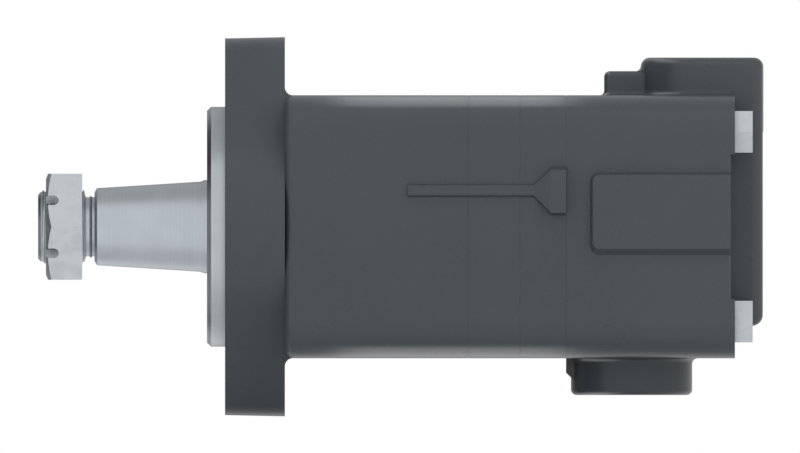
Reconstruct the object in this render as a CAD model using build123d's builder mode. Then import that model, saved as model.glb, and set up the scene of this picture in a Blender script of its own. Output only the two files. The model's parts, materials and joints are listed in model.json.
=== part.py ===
"""Orbital hydraulic motor: square cast body, two-bolt flange, tapered shaft and disc valve.

X runs along the shaft from the front to the rear, Z is up and the near side is -Y. The origin is where the
shaft's axis meets the flange's mounting face. All sizes are in millimetres.
"""
from build123d import *
from math import atan, cos, hypot, pi, radians, sin, sqrt, tan
import os

os.makedirs("parts", exist_ok=True)

# Lengths of the sections along the axis
pilot_len = 6.2
flange_len = 20.6
front_body_len = 63.0
ring_len = 17.9
plate_len = 15.8
valve_body_len = 58.1

# Flange and pilot
pilot_d = 82.55
pilot_chamfer = 1.4
flange_r = 45.9
ear_r = 11.6
flange_hole_spacing = 106.4
flange_hole_r = 6.75
flange_draft = 1.2
root_r = 2.75

# Square body and its bolts
corner_r = 12.6
joint_chamfer = 0.3
rear_chamfer = 0.5
bolt_r = 4.76
bolt_clear_r = 5.2
bolt_land = 1.37
bolt_head_af = 14.3
bolt_head_h = 6.1
bolt_thread_len = 23.0
wear_plate_len = 6.5

# Play between pieces
run_fit = 0.04
seat_fit = 0.03
face_fit = 0.04
thread_fit = 0.05

# Tapered shaft end
shaft_out_len = 58.1
thread_r = 12.7
thread_depth = 0.7
thread_chamfer = 1.0
thread_len = 16.0
relief_r = 10.2
relief_ridge = 0.55
relief_ridge_w = 0.5
relief_len = 4.3
taper_edge_len = 0.9
taper_edge_r = 11.8
taper_len = 35.6
taper_gauge_r = 15.875
taper_gauge_x = -2.8
taper_ratio = 1 / 8
neck_len = 1.2
shoulder_r = 16.05
nut_af = 36.5
nut_len = 12.5
nut_front = 2.7
nut_slot_w = 3.8
nut_slot_depth = 4.5
nut_bevel_r = 16.6
nut_bevel_len = 1.9
key_w = 7.94
key_disc_r = 12.7
key_rise = 3.6
key_disc_drop = 1.2
key_from_taper_front = 16.0

# Front end of the bearing housing
dust_seal_r = 22.0
dust_seal_len = 5.0
dust_set_back = 0.4
dust_case_w = 2.0
dust_lip_w = 0.5
dust_lip_x = 0.6
dust_web_w = 1.6
throat_r = 18.6
seal_washer_x = 3.0
seal_washer_len = 1.5
washer_gap = 0.5
shaft_seal_len = 7.5
shaft_seal_r = 24.5
seal_case_w = 1.4
seal_lip_gap = 1.0
seal_lip_x = 3.6
seal_lip_len = 0.8
seal_pocket_x = 2.4
seal_pocket_w = 1.4
seal_journal_r = 17.5

# Front bearing, thrust bearing and rear bearing
front_roller_r = 2.0
front_roller_len = 14.0
front_roller_count = 14
front_race_len = 18.0
front_race_gap = 2.0
thrust_x = 35.0
thrust_washer_len = 1.2
needle_r = 1.25
needle_len = 7.0
needle_count = 18
thrust_mid_r = 23.2
thrust_ring_in = 18.6
thrust_ring_out = 28.0
thrust_cage_gap = 0.4
collar_r = 27.5
collar_len = 5.1
rear_journal_r = 22.5
rear_roller_r = 2.5
rear_roller_len = 14.0
rear_roller_count = 15
rear_race_len = 18.0
rear_race_gap = 1.6
main_bore_r = 31.0
end_washer_len = 1.5
end_washer_in = 17.5
end_washer_out = 30.0
cage_thick = 1.6

# Rotor set
roller_circle_r = 30.0
stator_roller_r = 6.0
stator_roller_count = 7
offset_e = 2.8
mesh_fit = 0.06
tip_gap = 0.4

# Splines of the drive link and the valve drive
tooth_count = 12
tooth_root_r = 10.8
tooth_tip_r = 13.0
tooth_root_w = 3.9
tooth_tip_w = 2.5
flank_play = 0.12
shaft_spline_x = 40.0
shaft_spline_len = 12.0
shaft_bore_r = 15.5
runout_r = 10.2
runout_len = 4.0
link_head_half = 3.4
link_front_half = 5.0
link_inset = 1.1
link_shank_r = 8.6
nub_r = 4.0
nub_len = 0.6
spacer_r = 9.6
spacer_len = 1.2
spacer_gap = 0.35
drive_gap = 0.6
drive_head_half = 2.2
drive_rear_half = 3.4
drive_shank_r = 6.4
valve_hub_depth = 10.5
wear_plate_bore_r = 14.4

# Valve plate, valve disc and balance ring
plate_bore_r = 11.6
window_in = 21.5
window_out = 29.0
plate_window_w = 5.0
disc_gap = 3.0
disc_len = 12.0
disc_window_w = 4.2
disc_window_len = 5.0
disc_notch_depth = 6.5
disc_notch_overrun = 4.0
disc_relief_r = 7.0
chamber_land = 1.3
chamber_len = 14.2
hub_bore_r = 9.0
hub_r = 13.0
balance_bore_r = 27.0
balance_ring_len = 10.0
balance_hole_r = 2.6
balance_hole_count = 8
balance_groove_x = 2.6
balance_seal_w = 2.8
balance_seal_h = 2.0
spring_height = 1.5
spring_thick = 0.5
spring_gap = 0.3
gallery_r = 23.0
gallery_len = 8.0
drain_bore_len = 46.0

# Square-cut seals between the sections
pocket_land = 1.26
wear_plate_land = 0.7
body_seal_w = 2.3
body_seal_h = 1.5

# Ports
port_thread_r = 11.1
port_chamfer = 1.2
port_thread_len = 17.0
port_core_r = 8.0
upper_boss_r = 21.1
upper_port_from_rear = 11.3
upper_boss_rise = 12.95
upper_boss_edge_r = 3.2
lower_boss_r = 20.85
lower_port_from_front = 22.55
lower_boss_rise = 12.65
lower_boss_edge_r = 2.0
boss_foot_r = 2.0
boss_web_w = 14.0
boss_web_front = 4.95
boss_web_rise = 7.75
lug_front = 13.1
lug_rise = 8.3
lug_w = 15.0
lug_corner_r = 2.2
lug_edge_r = 2.0
lug_foot_r = 1.6
lug_top_r = 1.8
duct_w = 13.0
duct_h = 9.0
duct_corner_r = 3.0

# Rear face and hump
rear_relief = 1.4
pad_inner = 24.9
hump_rise = 9.6
hump_low = -34.1
hump_edge_r = 3.8
hump_corner_r = 4.0

# Rib, flare and pad on the near side
rib_start = 20.7
rib_low = 10.9
rib_high = 14.25
rib_h = 1.2
rib_low_slope = 0.8
rib_high_slope = 0.5
flare_start = 11.1
flare_len = 6.1
land_low = 4.8
land_high = 19.6
land_h = 4.2
land_slope = 0.9
pad_front = 8.3
pad_low = -9.7
pad_high = 18.6
pad_h = 2.6
pad_low_slope = 2.1
pad_high_slope = 0.7
pad_front_slope = 0.9
pad_corner_r = 3.2
pad_root = 0.5

# Drain plug on the far side
drain_from_front = 38.5
drain_thread_r = 5.5
drain_thread_len = 11.0
drain_hole_r = 3.0
drain_seat_r = 9.2
drain_seat_depth = 1.0
drain_head_r = 8.4
drain_head_len = 3.0
drain_socket_af = 4.76
drain_socket_depth = 4.0
drain_seal_len = 1.2
drain_seal_inset = 0.4
drain_tip_gap = 1.0

# Stations along the axis that follow from the lengths
flange_back = flange_len
housing_end = flange_back + front_body_len
ring_end = housing_end + ring_len
plate_end = ring_end + plate_len
valve_end = plate_end + valve_body_len
rear_face = valve_end - rear_relief
wear_plate_x = housing_end - wear_plate_len
rotor_angle_step = 360 / stator_roller_count
lobe_count = stator_roller_count - 1

# Radii from the roller pockets outwards: seals, wear plate, disc chamber, bolts and the body's side
pocket_r = roller_circle_r + stator_roller_r + run_fit
body_seal_in = pocket_r + pocket_land
body_seal_out = body_seal_in + body_seal_w
wear_plate_r = body_seal_in - wear_plate_land
chamber_r = body_seal_in - chamber_land
disc_r = chamber_r - disc_gap
bolt_spacing = (body_seal_out + bolt_land + bolt_clear_r) * sqrt(2)
body_side = bolt_spacing + 2 * corner_r
half_body = body_side / 2


def save(piece, name):
    """Label a finished piece and write it to its own file."""
    piece.part.label = name
    export_step(piece.part, f"parts/{name}.step")


def turned(outline, mode=Mode.ADD):
    """Revolve a closed outline of (x, radius) points about the motor's axis."""
    with BuildSketch(Plane.XZ) as section:
        with BuildLine():
            Polyline(*outline, close=True)
        make_face()
    revolve(section.sketch, axis=Axis.X, mode=mode)


def tube(x0, x1, inner, outer, mode=Mode.ADD):
    """Add or cut a plain ring between two stations."""
    turned([(x0, inner), (x0, outer), (x1, outer), (x1, inner)], mode)


def bored(x0, x1, radius):
    """Cut a round hole along the motor's axis."""
    tube(x0, x1, 0, radius, Mode.SUBTRACT)


def square_length(x0, x1, front_edge=joint_chamfer, rear_edge=joint_chamfer):
    """Make one length of the square body, with its round corners and its end edges broken."""
    with BuildPart() as length:
        with BuildSketch(Plane.YZ.offset(x0)):
            RectangleRounded(body_side, body_side, corner_r)
        extrude(amount=x1 - x0)
        if front_edge:
            chamfer(length.faces().sort_by(Axis.X)[0].edges(), front_edge)
        chamfer(length.faces().sort_by(Axis.X)[-1].edges(), rear_edge)
    return length.part


def corner_holes(x0, x1, radius):
    """Cut the four bolt holes at the body's corners."""
    with BuildSketch(Plane.YZ.offset(x0)) as holes:
        with GridLocations(bolt_spacing, bolt_spacing, 2, 2):
            Circle(radius)
    extrude(holes.sketch, amount=x1 - x0, mode=Mode.SUBTRACT)


def seal_groove(x0, depth):
    """Cut the groove of a body seal back from the joint face at x0."""
    tube(x0, x0 + depth, body_seal_in, body_seal_out, Mode.SUBTRACT)


def near_section(x, low, high, height, low_slope, high_slope):
    """Outline of a raised strip on the near face, in the plane across the axis at x."""
    with BuildSketch(Plane.YZ.offset(x)) as section:
        with BuildLine():
            Polyline(
                (-half_body + height, low - low_slope),
                (-half_body, low - low_slope),
                (-half_body - height, low),
                (-half_body - height, high),
                (-half_body, high + high_slope),
                (-half_body + height, high + high_slope),
                close=True,
            )
        make_face()
    return section.sketch


def rib_section(x):
    """Outline of the narrow cast rib, in the plane across the axis at x."""
    return near_section(x, rib_low, rib_high, rib_h, rib_low_slope, rib_high_slope)


def rib(x0, x1):
    """Add one length of the narrow cast rib on the near face."""
    extrude(rib_section(x0), amount=x1 - x0)


def spline_face(plane, grow):
    """Toothed outline in a plane across a splined shaft, grown or shrunk by a play all round."""
    points = []
    for tooth in range(tooth_count):
        middle = 2 * pi * tooth / tooth_count
        root_half = tooth_root_w / 2 + grow
        tip_half = tooth_tip_w / 2 + grow
        root_r = tooth_root_r + grow
        tip_r = tooth_tip_r + grow
        corners = [(root_r, -root_half), (tip_r, -tip_half), (tip_r, tip_half), (root_r, root_half)]
        for radius, side in corners:
            across = side * cos(middle) + radius * sin(middle)
            along = radius * cos(middle) - side * sin(middle)
            points.append((-across, along))
    with BuildSketch(plane) as section:
        with BuildLine():
            Polyline(*points, close=True)
        make_face()
    return section.sketch


def link_plane(centre, direction, distance):
    """Plane across a tilted link, at a distance along it from its centre point."""
    return Plane(centre + direction * distance, x_dir=(0, 1, 0), z_dir=direction)


def crowned_head(centre, direction, half, tilt):
    """Add a splined head, full in its middle and slimmer at both ends, so that it can rock in its seat."""
    crown = half * tan(tilt) + run_fit
    ends = [spline_face(link_plane(centre, direction, side), -crown) for side in (-half, half)]
    middle = spline_face(link_plane(centre, direction, 0), 0)
    loft([ends[0], middle, ends[1]], ruled=True)


def link_turned(centre, direction, outline):
    """Revolve an outline of (distance, radius) points about a tilted link's own axis."""
    side = Plane(centre, x_dir=direction, z_dir=(0, -1, 0))
    with BuildSketch(side) as section:
        with BuildLine():
            Polyline(*outline, close=True)
        make_face()
    revolve(section.sketch, axis=Axis(centre, direction))


def plain_ring(name, x0, x1, inner, outer):
    """Make and save a washer, race or square-cut seal."""
    with BuildPart() as ring:
        tube(x0, x1, inner, outer)
    save(ring, name)


def radial_bearing(name, x_race, journal_r, roller_r, roller_len, count, race_len, seat_r):
    """Make the outer race, the cage and the rollers of a bearing that runs straight on the shaft."""
    circle_r = journal_r + run_fit + roller_r
    race_in = circle_r + roller_r + run_fit
    plain_ring(f"{name}_race", x_race, x_race + race_len, race_in, seat_r - seat_fit)
    roller_x = x_race + (race_len - roller_len) / 2
    plane = Plane.YZ.offset(roller_x)
    with BuildPart() as rollers:
        with BuildSketch(plane):
            with PolarLocations(circle_r, count):
                Circle(roller_r)
        extrude(amount=roller_len)
    save(rollers, f"{name}_rollers")
    cage_margin = (race_len - roller_len) / 2 - 2 * face_fit
    with BuildPart() as cage:
        tube(roller_x - cage_margin, roller_x + roller_len + cage_margin,
             circle_r - cage_thick / 2, circle_r + cage_thick / 2)
        with BuildSketch(Plane.YZ.offset(roller_x - face_fit)):
            with PolarLocations(circle_r, count):
                Circle(roller_r + run_fit)
        extrude(amount=roller_len + 2 * face_fit, mode=Mode.SUBTRACT)
    save(cage, f"{name}_cage")


# Bearing housing: body with a rounded front edge, flange with two ears, pilot and stepped bore
with BuildSketch(Plane.YZ) as flange_outline:
    Circle(flange_r)
    with Locations((0, flange_hole_spacing / 2), (0, -flange_hole_spacing / 2)):
        Circle(ear_r)
    make_hull()

with BuildPart() as ear_root:
    extrude(Location((flange_back, 0, 0)) * flange_outline.sketch, amount=root_r)
    with BuildSketch(Plane.XZ) as above_root:
        for side in (1, -1):
            with BuildLine():
                foot = (flange_back + root_r, side * half_body)
                top = (flange_back, side * (half_body + root_r))
                RadiusArc(top, foot, -side * root_r)
                Polyline(
                    foot,
                    (flange_back + 2 * root_r, side * half_body),
                    (flange_back + 2 * root_r, side * flange_hole_spacing),
                    (flange_back, side * flange_hole_spacing),
                    top,
                )
            make_face()
    extrude(above_root.sketch, amount=body_side, both=True, mode=Mode.SUBTRACT)
    with Locations((flange_back + root_r, 0, 0)):
        Box(2 * root_r, 2 * body_side, body_side - 2 * root_r, mode=Mode.SUBTRACT)

with BuildPart() as bearing_housing:
    add(square_length(flange_back, housing_end, front_edge=0))
    fillet(bearing_housing.faces().sort_by(Axis.X)[0].edges(), root_r)
    extrude(flange_outline.sketch, amount=flange_len, taper=-flange_draft)
    add(ear_root.part)
    turned([
        (0, 0),
        (-pilot_len, 0),
        (-pilot_len, pilot_d / 2 - pilot_chamfer),
        (-pilot_len + pilot_chamfer, pilot_d / 2),
        (0, pilot_d / 2),
    ])
    rib(housing_end - rib_start, housing_end)
    bored(-pilot_len, -pilot_len + dust_seal_len, dust_seal_r)
    bored(-pilot_len, seal_washer_x, throat_r)
    bored(seal_washer_x, thrust_x, shaft_seal_r)
    bored(thrust_x, wear_plate_x, main_bore_r)
    bored(wear_plate_x, housing_end, wear_plate_r + seat_fit)
    seal_groove(housing_end - body_seal_h, body_seal_h)
    corner_holes(housing_end - bolt_thread_len - thread_fit, housing_end, bolt_r + thread_fit)
    with BuildSketch(Plane.YZ):
        with Locations((0, flange_hole_spacing / 2), (0, -flange_hole_spacing / 2)):
            Circle(flange_hole_r)
    extrude(amount=flange_len + root_r, mode=Mode.SUBTRACT)
save(bearing_housing, "bearing_housing")

plain_ring("wear_plate", wear_plate_x + face_fit, housing_end - face_fit, wear_plate_bore_r, wear_plate_r)

# Output shaft with its taper, journals, thrust collar and splined bore
taper_front = -pilot_len - shaft_out_len + thread_len + relief_len
taper_back = taper_front + taper_len


def taper_radius(x):
    """Radius of the 1 in 8 taper at a station."""
    return taper_gauge_r + (x - taper_gauge_x) * taper_ratio / 2


thread_core_r = thread_r - thread_depth
shaft_tip = -pilot_len - shaft_out_len
thread_back = shaft_tip + thread_len
relief_mid = thread_back + relief_len / 2
collar_x = thrust_x + 2 * thrust_washer_len + 2 * needle_r + 5 * face_fit
shaft_back = wear_plate_x - end_washer_len - 2 * face_fit
spline_back = shaft_spline_x + shaft_spline_len
with BuildPart() as output_shaft:
    turned([
        (shaft_tip, 0),
        (shaft_tip, thread_core_r - thread_chamfer),
        (shaft_tip + thread_chamfer, thread_core_r),
        (thread_back, thread_core_r),
        (thread_back + relief_ridge_w, relief_r),
        (relief_mid - relief_ridge_w, relief_r),
        (relief_mid, relief_r + relief_ridge),
        (relief_mid + relief_ridge_w, relief_r),
        (taper_front - taper_edge_len, relief_r),
        (taper_front - taper_edge_len, taper_edge_r),
        (taper_front, taper_radius(taper_front)),
        (taper_back, taper_radius(taper_back)),
        (taper_back + neck_len, shoulder_r),
        (0, shoulder_r),
        (seal_journal_r - shoulder_r, seal_journal_r),
        (collar_x, seal_journal_r),
        (collar_x, collar_r),
        (collar_x + collar_len, collar_r),
        (collar_x + collar_len, rear_journal_r),
        (shaft_back, rear_journal_r),
        (shaft_back, 0),
    ])
    bored(spline_back, shaft_back, shaft_bore_r)
    bored(shaft_spline_x - runout_len, shaft_spline_x, runout_r)
    extrude(
        spline_face(Plane.YZ.offset(shaft_spline_x), flank_play),
        amount=shaft_spline_len,
        mode=Mode.SUBTRACT,
    )
    key_x = taper_front + key_from_taper_front
    seat_top = taper_radius(key_x)
    key_centre_y = seat_top + key_rise - key_disc_drop
    with BuildSketch(Plane.XY.offset(-key_w / 2 - seat_fit)):
        with Locations((key_x, key_centre_y)):
            Circle(key_disc_r)
    extrude(amount=key_w + 2 * seat_fit, mode=Mode.SUBTRACT)
save(output_shaft, "output_shaft")

with BuildPart() as shaft_key:
    with BuildSketch(Plane.XY.offset(-key_w / 2)):
        with Locations((key_x, key_centre_y)):
            Circle(key_disc_r - seat_fit)
        with Locations((key_x, seat_top + key_rise + key_disc_r)):
            Rectangle(4 * key_disc_r, 2 * key_disc_r, mode=Mode.SUBTRACT)
    extrude(amount=key_w)
save(shaft_key, "shaft_key")

# Slotted hexagon nut, with flats at top and bottom
nut_x = shaft_tip + nut_front
nut_corner_r = nut_af / 2 / cos(radians(30))
with BuildPart() as shaft_nut:
    with BuildSketch(Plane.YZ.offset(nut_x)):
        RegularPolygon(nut_af / 2, 6, major_radius=False, rotation=0)
        Circle(thread_core_r + thread_fit, mode=Mode.SUBTRACT)
    extrude(amount=nut_len)
    turned([
        (nut_x, nut_bevel_r),
        (nut_x + nut_bevel_len, nut_corner_r),
        (nut_x + nut_bevel_len, 2 * nut_corner_r),
        (nut_x, 2 * nut_corner_r),
    ], Mode.SUBTRACT)
    for turn in range(3):
        with BuildSketch(Plane.XY.rotated((60 * turn, 0, 0))):
            with Locations((nut_x, 0)):
                SlotOverall(2 * nut_slot_depth, nut_slot_w)
        extrude(amount=nut_af, both=True, mode=Mode.SUBTRACT)
save(shaft_nut, "shaft_nut")

# Seals at the front of the housing
dust_x = -pilot_len
with BuildPart() as dust_seal:
    turned([
        (dust_x + dust_seal_len - face_fit, dust_seal_r - seat_fit),
        (dust_x + dust_set_back, dust_seal_r - seat_fit),
        (dust_x + dust_set_back, dust_seal_r - dust_case_w),
        (dust_x + dust_set_back + 2 * dust_lip_w, shoulder_r + dust_web_w + dust_lip_x),
        (dust_x + dust_lip_x, shoulder_r + run_fit + dust_lip_w),
        (dust_x + dust_lip_x + dust_lip_w, shoulder_r + run_fit),
        (dust_x + dust_seal_len / 2, shoulder_r + dust_web_w),
        (dust_x + dust_seal_len - face_fit, shoulder_r + dust_web_w + dust_lip_x),
    ])
save(dust_seal, "dust_seal")

plain_ring(
    "seal_backup_washer",
    seal_washer_x + face_fit,
    seal_washer_x + seal_washer_len,
    seal_journal_r + washer_gap,
    shaft_seal_r - seat_fit,
)

seal_x = seal_washer_x + seal_washer_len + face_fit
seal_back = seal_x + shaft_seal_len
with BuildPart() as shaft_seal:
    turned([
        (seal_x, shaft_seal_r - seat_fit),
        (seal_x, seal_journal_r + seal_lip_gap),
        (seal_x + seal_pocket_x, seal_journal_r + seal_lip_gap),
        (seal_x + seal_lip_x, seal_journal_r + run_fit),
        (seal_x + seal_lip_x + seal_lip_len, seal_journal_r + run_fit),
        (seal_back - seal_lip_gap, seal_journal_r + seal_lip_gap),
        (seal_back - seal_lip_gap, seal_journal_r + seal_lip_gap + seal_pocket_w),
        (seal_x + seal_pocket_x, seal_journal_r + seal_lip_gap + seal_pocket_w),
        (seal_x + seal_pocket_x, shaft_seal_r - seal_case_w),
        (seal_back, shaft_seal_r - seal_case_w),
        (seal_back, shaft_seal_r - seat_fit),
    ])
save(shaft_seal, "shaft_seal")

# Bearings
radial_bearing(
    "front_bearing",
    thrust_x - front_race_gap - front_race_len,
    seal_journal_r,
    front_roller_r,
    front_roller_len,
    front_roller_count,
    front_race_len,
    shaft_seal_r,
)
radial_bearing(
    "rear_bearing",
    shaft_back - rear_race_gap - rear_race_len,
    rear_journal_r,
    rear_roller_r,
    rear_roller_len,
    rear_roller_count,
    rear_race_len,
    main_bore_r,
)

front_washer_x = thrust_x + face_fit
needle_x = front_washer_x + thrust_washer_len + face_fit
rear_washer_x = needle_x + 2 * needle_r + face_fit
plain_ring("thrust_washer_front", front_washer_x, front_washer_x + thrust_washer_len,
           thrust_ring_in, thrust_ring_out)
plain_ring("thrust_washer_rear", rear_washer_x, rear_washer_x + thrust_washer_len,
           thrust_ring_in, thrust_ring_out)

needle_mid_x = needle_x + needle_r
with BuildPart() as thrust_needles:
    for turn in range(needle_count):
        spoke = Plane.XY.rotated((360 * turn / needle_count, 0, 0))
        along = Plane(
            Vector(needle_mid_x, 0, 0) + spoke.y_dir * (thrust_mid_r - needle_len / 2),
            x_dir=(1, 0, 0),
            z_dir=spoke.y_dir,
        )
        with BuildSketch(along):
            Circle(needle_r)
        extrude(amount=needle_len)
save(thrust_needles, "thrust_needles")

with BuildPart() as thrust_cage:
    tube(needle_mid_x - cage_thick / 2, needle_mid_x + cage_thick / 2,
         thrust_ring_in + thrust_cage_gap, thrust_ring_out - thrust_cage_gap)
    for turn in range(needle_count):
        spoke = Plane.XY.rotated((360 * turn / needle_count, 0, 0))
        along = Plane(
            Vector(needle_mid_x, 0, 0) + spoke.y_dir * (thrust_mid_r - needle_len / 2 - face_fit),
            x_dir=(1, 0, 0),
            z_dir=spoke.y_dir,
        )
        with BuildSketch(along):
            Circle(needle_r + run_fit)
        extrude(amount=needle_len + 2 * face_fit, mode=Mode.SUBTRACT)
save(thrust_cage, "thrust_cage")

plain_ring("shaft_end_washer", shaft_back + face_fit, shaft_back + face_fit + end_washer_len,
           end_washer_in, end_washer_out)

# Ring with seven roller pockets
pocket_bore_r = roller_circle_r + 2 * offset_e - stator_roller_r + tip_gap
with BuildPart() as geroler_ring:
    add(square_length(housing_end, ring_end))
    rib(housing_end, ring_end)
    with BuildSketch(Plane.YZ.offset(housing_end)):
        Circle(pocket_bore_r)
        with PolarLocations(roller_circle_r, stator_roller_count, start_angle=90):
            Circle(pocket_r - roller_circle_r)
    extrude(amount=ring_len, mode=Mode.SUBTRACT)
    corner_holes(housing_end, ring_end, bolt_clear_r)
save(geroler_ring, "geroler_ring")

# Stator rollers, one in each pocket
for pocket in range(stator_roller_count):
    with BuildPart() as stator_roller:
        with BuildSketch(Plane.YZ.offset(housing_end + face_fit)):
            with PolarLocations(roller_circle_r, 1, start_angle=90 + rotor_angle_step * pocket):
                Circle(stator_roller_r)
        extrude(amount=ring_len - 2 * face_fit)
    save(stator_roller, f"stator_roller_{pocket + 1}")


# Rotor: the curve that the rollers' centres trace seen from the rotor, moved in by the roller's radius
def lobe_point(beta):
    """Point of the rotor's outline at an angle from a lobe's middle, with the outline's direction there."""
    path_y = -roller_circle_r * sin(beta) - offset_e * sin(stator_roller_count * beta)
    path_z = roller_circle_r * cos(beta) + offset_e * cos(stator_roller_count * beta)
    step_y = -roller_circle_r * cos(beta) - stator_roller_count * offset_e * cos(stator_roller_count * beta)
    step_z = -roller_circle_r * sin(beta) - stator_roller_count * offset_e * sin(stator_roller_count * beta)
    speed = hypot(step_y, step_z)
    inward = stator_roller_r + mesh_fit
    point = (path_y - inward * step_z / speed, path_z + inward * step_y / speed)
    return point, (step_y / speed, step_z / speed)


lobe_steps = 12
lobe_half = pi / lobe_count
rotor_centre = Vector(0, 0, -offset_e)
rotor_plane = Plane(rotor_centre, x_dir=(0, 1, 0), z_dir=(1, 0, 0))
with BuildPart() as rotor:
    with BuildSketch(rotor_plane.offset(housing_end + face_fit)):
        with BuildLine():
            for lobe in range(lobe_count):
                start = 2 * lobe_half * lobe - lobe_half
                turns = [start + 2 * lobe_half * step / lobe_steps for step in range(lobe_steps + 1)]
                steps = [lobe_point(turn) for turn in turns]
                Spline([point for point, heading in steps], tangents=(steps[0][1], steps[-1][1]))
        make_face()
    extrude(amount=ring_len - 2 * face_fit)
    extrude(
        spline_face(rotor_plane.offset(housing_end), flank_play),
        amount=ring_len,
        mode=Mode.SUBTRACT,
    )
save(rotor, "rotor")

# Drive link from the shaft to the rotor, and valve drive from the rotor to the valve disc
link_front_x = shaft_spline_x + shaft_spline_len / 2
link_rear_x = housing_end + link_inset + link_head_half
link_front = Vector(link_front_x, 0, 0)
link_span = Vector(link_rear_x - link_front_x, 0, -offset_e)
link_tilt = atan(offset_e / (link_rear_x - link_front_x))
link_way = link_span.normalized()
with BuildPart() as drive_link:
    crowned_head(link_front, link_way, link_front_half, link_tilt)
    crowned_head(link_front + link_span, link_way, link_head_half, link_tilt)
    link_turned(link_front, link_way, [
        (-link_front_half - nub_len, 0),
        (-link_front_half - nub_len, nub_r),
        (-link_front_half, nub_r + nub_len),
        (-link_front_half, link_shank_r),
        (link_span.length + link_head_half, link_shank_r),
        (link_span.length + link_head_half, nub_r + nub_len),
        (link_span.length + link_head_half + nub_len, nub_r),
        (link_span.length + link_head_half + nub_len, 0),
    ])
save(drive_link, "drive_link")

spacer_x = link_rear_x + link_head_half + nub_len + spacer_gap
with BuildPart() as link_spacer:
    with BuildSketch(rotor_plane.offset(spacer_x)):
        Circle(spacer_r)
    extrude(amount=spacer_len)
save(link_spacer, "link_spacer")

disc_x = plate_end + face_fit
drive_front_x = spacer_x + spacer_len + drive_gap + nub_len + drive_head_half
drive_rear_x = disc_x + valve_hub_depth / 2
drive_span = Vector(drive_rear_x - drive_front_x, 0, offset_e)
drive_tilt = atan(offset_e / (drive_rear_x - drive_front_x))
drive_way = drive_span.normalized()
drive_front = Vector(drive_front_x, 0, -offset_e)
with BuildPart() as valve_drive:
    crowned_head(drive_front, drive_way, drive_head_half, drive_tilt)
    crowned_head(drive_front + drive_span, drive_way, drive_rear_half, drive_tilt)
    link_turned(drive_front, drive_way, [
        (-drive_head_half - nub_len, 0),
        (-drive_head_half - nub_len, nub_r),
        (-drive_head_half, nub_r + nub_len),
        (-drive_head_half, drive_shank_r),
        (drive_span.length + drive_rear_half, drive_shank_r),
        (drive_span.length + drive_rear_half, nub_r + nub_len),
        (drive_span.length + drive_rear_half + nub_len, nub_r),
        (drive_span.length + drive_rear_half + nub_len, 0),
    ])
save(valve_drive, "valve_drive")

# Valve plate with seven windows between the rollers
window_mid = (window_in + window_out) / 2
window_len = window_out - window_in
with BuildPart() as valve_plate:
    add(square_length(ring_end, plate_end))
    rib(ring_end, plate_end - flare_start)
    flare_x = plate_end - flare_start
    land_x = flare_x + flare_len
    land = near_section(land_x, land_low, land_high, land_h, land_slope, land_slope)
    loft([rib_section(flare_x), land], ruled=True)
    extrude(land, amount=plate_end - land_x)
    bored(ring_end, plate_end, plate_bore_r)
    with BuildSketch(Plane.YZ.offset(ring_end)):
        with PolarLocations(window_mid, stator_roller_count, start_angle=90 + rotor_angle_step / 2):
            SlotOverall(window_len, plate_window_w)
    extrude(amount=plate_len, mode=Mode.SUBTRACT)
    seal_groove(ring_end, body_seal_h)
    corner_holes(ring_end, plate_end, bolt_clear_r)
save(valve_plate, "valve_plate")

# Valve disc: six windows through it and six notches open to its rim, in turn
notch_mid = (window_in + disc_r + disc_notch_overrun) / 2
with BuildPart() as valve_disc:
    tube(disc_x, disc_x + disc_len, 0, disc_r)
    bored(disc_x + valve_hub_depth, disc_x + disc_len, disc_relief_r)
    extrude(
        spline_face(Plane.YZ.offset(disc_x), flank_play),
        amount=valve_hub_depth,
        mode=Mode.SUBTRACT,
    )
    with BuildSketch(Plane.YZ.offset(disc_x)):
        with PolarLocations(window_mid, lobe_count, start_angle=90):
            SlotOverall(disc_window_len, disc_window_w)
    extrude(amount=disc_len, mode=Mode.SUBTRACT)
    with BuildSketch(Plane.YZ.offset(disc_x)):
        with PolarLocations(notch_mid, lobe_count, start_angle=90 + 180 / lobe_count):
            SlotOverall(2 * (notch_mid - window_in), disc_window_w)
    extrude(amount=disc_notch_depth, mode=Mode.SUBTRACT)
save(valve_disc, "valve_disc")

# Balance ring behind the disc, with its two seals and its disc spring
balance_x = disc_x + disc_len + face_fit
balance_back = balance_x + balance_ring_len
groove_x = plate_end + chamber_len + balance_groove_x
with BuildPart() as balance_ring:
    tube(balance_x, balance_back, hub_r + run_fit, balance_bore_r - run_fit)
    tube(groove_x, groove_x + balance_seal_w, balance_bore_r - balance_seal_h, balance_bore_r, Mode.SUBTRACT)
    tube(groove_x, groove_x + balance_seal_w, hub_r, hub_r + balance_seal_h, Mode.SUBTRACT)
    with BuildSketch(Plane.YZ.offset(balance_x)):
        with PolarLocations((hub_r + balance_bore_r) / 2, balance_hole_count):
            Circle(balance_hole_r)
    extrude(amount=balance_ring_len, mode=Mode.SUBTRACT)
save(balance_ring, "balance_ring")
plain_ring("balance_outer_seal", groove_x + face_fit, groove_x + balance_seal_w - face_fit,
           balance_bore_r - balance_seal_h + seat_fit, balance_bore_r - seat_fit)
plain_ring("balance_inner_seal", groove_x + face_fit, groove_x + balance_seal_w - face_fit,
           hub_r + seat_fit, hub_r + balance_seal_h - seat_fit)

spring_x = balance_back + face_fit
with BuildPart() as balance_spring:
    turned([
        (spring_x, gallery_r + spring_gap),
        (spring_x + spring_thick, gallery_r + spring_gap),
        (spring_x + spring_height, balance_bore_r - spring_gap),
        (spring_x + spring_height - spring_thick, balance_bore_r - spring_gap),
    ])
save(balance_spring, "balance_spring")

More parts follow.
